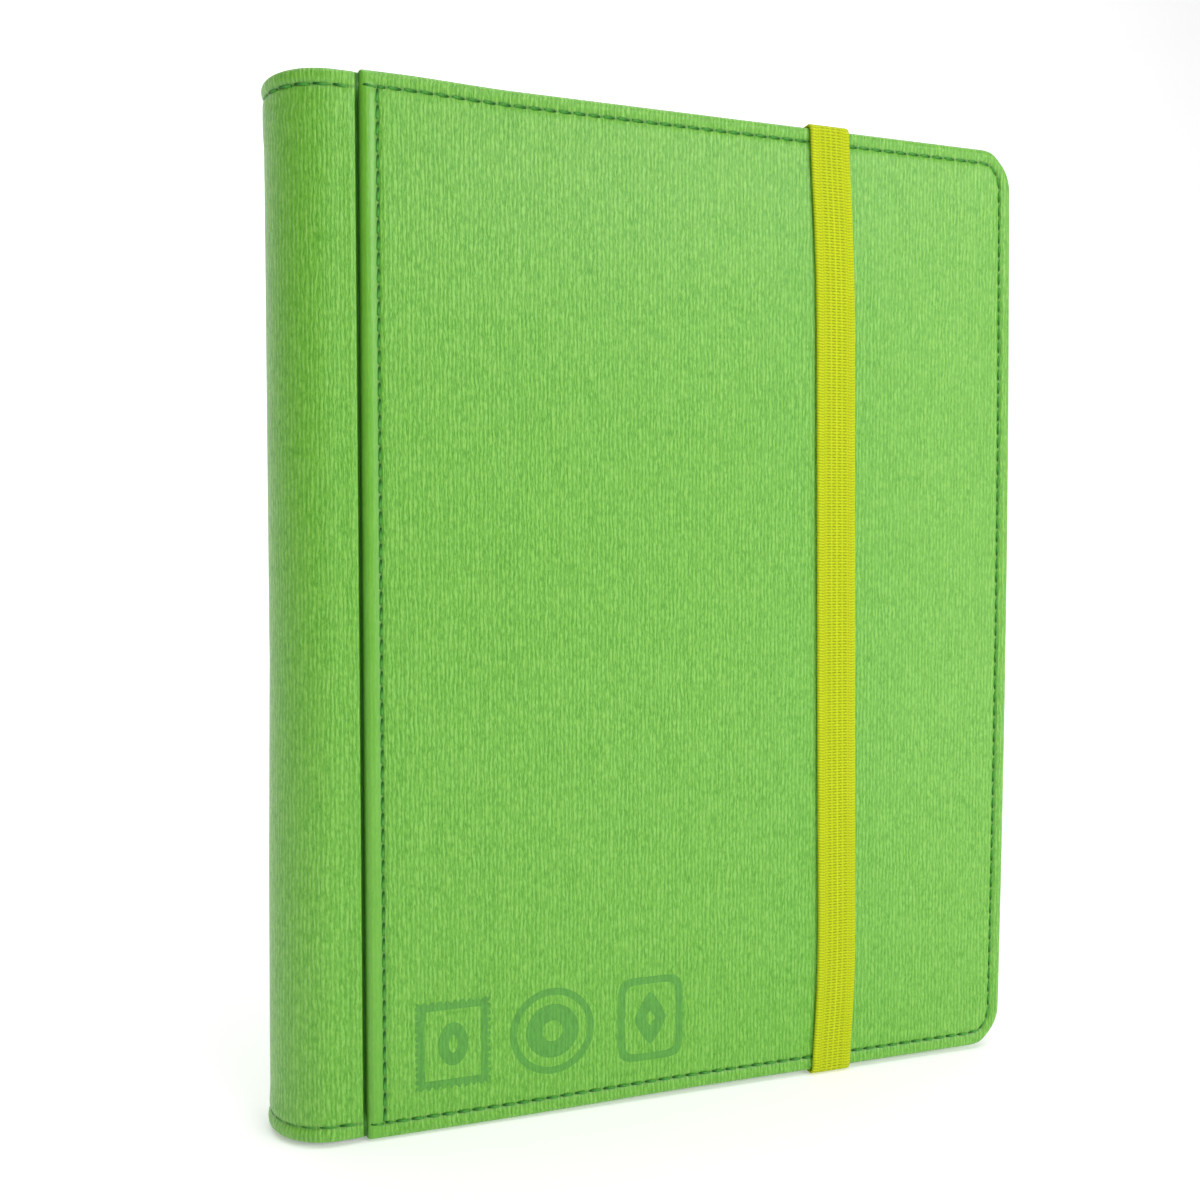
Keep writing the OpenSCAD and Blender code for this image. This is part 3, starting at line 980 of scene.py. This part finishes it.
def dress_nodes():
    wear = {
        "front_lining": MAT_LINING, "back_lining": MAT_LINING,
        "front_board": MAT_BOARD, "back_board": MAT_BOARD,
        "front_foam": MAT_FOAM, "back_foam": MAT_FOAM,
        "binding_strip": MAT_BACKING,
    }
    for name, material in wear.items():
        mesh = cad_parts[name].data
        mesh.materials.clear()
        mesh.materials.append(material)


# ---- studio ----------------------------------------------------------------------------------------

def plain_white(name, level, rough):
    """White that glows by itself, and more so towards the wall."""
    n = Nodes(name)
    place = n.add("ShaderNodeTexCoord").outputs["Object"]
    mottle = n.noise(place, 30.0, 3.0)
    colour = n.mix(mottle, rgb(level, level, level), rgb(level * 0.985, level * 0.985, level * 0.985))
    glow = n.ramp(n.add("ShaderNodeSeparateXYZ", {0: place}).outputs[1], 0.1, 1.0, to_low=0.3, to_high=0.55)
    return n.surface(Base_Color=colour, Roughness=rough, Emission_Color=rgb(1, 1, 1), Emission_Strength=glow)


def build_stage():
    """A pale sweep: floor, a round cove, and a wall."""
    front, depth, radius, wall, half = -2.4, 1.6, 0.6, 2.2, 2.6
    line = [(front, 0.0), (depth - radius, 0.0)]
    line += [
        (depth - radius + radius * math.sin(a), radius - radius * math.cos(a))
        for a in np.linspace(0, math.pi / 2, 16)[1:]
    ]
    line.append((depth, wall))
    points = [(x, y, z) for y, z in line for x in (-half, half)]
    white = plain_white("studio_white", 0.86, 0.9)
    sweep = make_object("studio_sweep", np.array(points) / MM, loft(len(line), 2), [white])


def area_light(name, place, target, width, height, watts):
    data = bpy.data.lights.new(name, "AREA")
    data.shape = "RECTANGLE"
    data.size, data.size_y = width, height
    data.energy = watts
    lamp = bpy.data.objects.new(name, data)
    bpy.context.collection.objects.link(lamp)
    lamp.location = place
    lamp.rotation_mode = "QUATERNION"
    lamp.rotation_quaternion = (Vector(target) - Vector(place)).to_track_quat("-Z", "Y")


def build_lights():
    world = bpy.data.worlds.new("studio_world")
    bpy.context.scene.world = world
    world.use_nodes = True
    background = world.node_tree.nodes["Background"]
    background.inputs["Color"].default_value = (1, 1, 1, 1)
    background.inputs["Strength"].default_value = 0.17
    area_light("overhead", (0.1, -0.25, 1.3), (0, 0.0, 0.1), 1.8, 1.0, 11)
    area_light("key_strip", (0.47, -1.05, 0.63), (0, 0, 0.18), 0.8, 0.18, 6.4)
    area_light("fill_right", (0.5, -0.44, 0.1), (0.05, 0, 0.1), 0.3, 0.5, 1.5)
    area_light("streak_left", (-1.01, 0.43, 0.2), (GROOVE_X * MM, 0, 0.14), 0.4, 0.9, 1.4)
    area_light("sweep_glow", (0, 0.55, 1.6), (0, 1.25, 0.3), 2.4, 1.0, 6)
    bpy.context.scene.view_settings.view_transform = "Standard"
    bpy.context.scene.view_settings.look = "None"


def build_camera():
    """Seen from the spine's side, close up, at a little over mid height."""
    turn, rise = math.radians(-18.1), math.radians(2.33)
    sensor, focal_px, picture_px = 36, 1171, 1200
    back = Vector((math.sin(turn) * math.cos(rise), -math.cos(turn) * math.cos(rise), math.sin(rise)))
    data = bpy.data.cameras.new("camera")
    data.sensor_width = sensor
    data.lens = sensor * focal_px / picture_px
    data.clip_start = 0.01
    camera = bpy.data.objects.new("camera", data)
    bpy.context.collection.objects.link(camera)
    camera.location = Vector((GROOVE_X - 30.9, FACE_Y - 265.7, TAIL_Z + 133.9)) * MM
    camera.rotation_mode = "QUATERNION"
    camera.rotation_quaternion = (-back).to_track_quat("-Z", "Y")
    bpy.context.scene.camera = camera


build_camera()
build_stage()
build_lights()
dress_nodes()
build_cover("front", -1, "front_cover")
build_cover("back", 1, "back_cover")
build_ornament()
build_spine()
build_strap()
build_leaves()
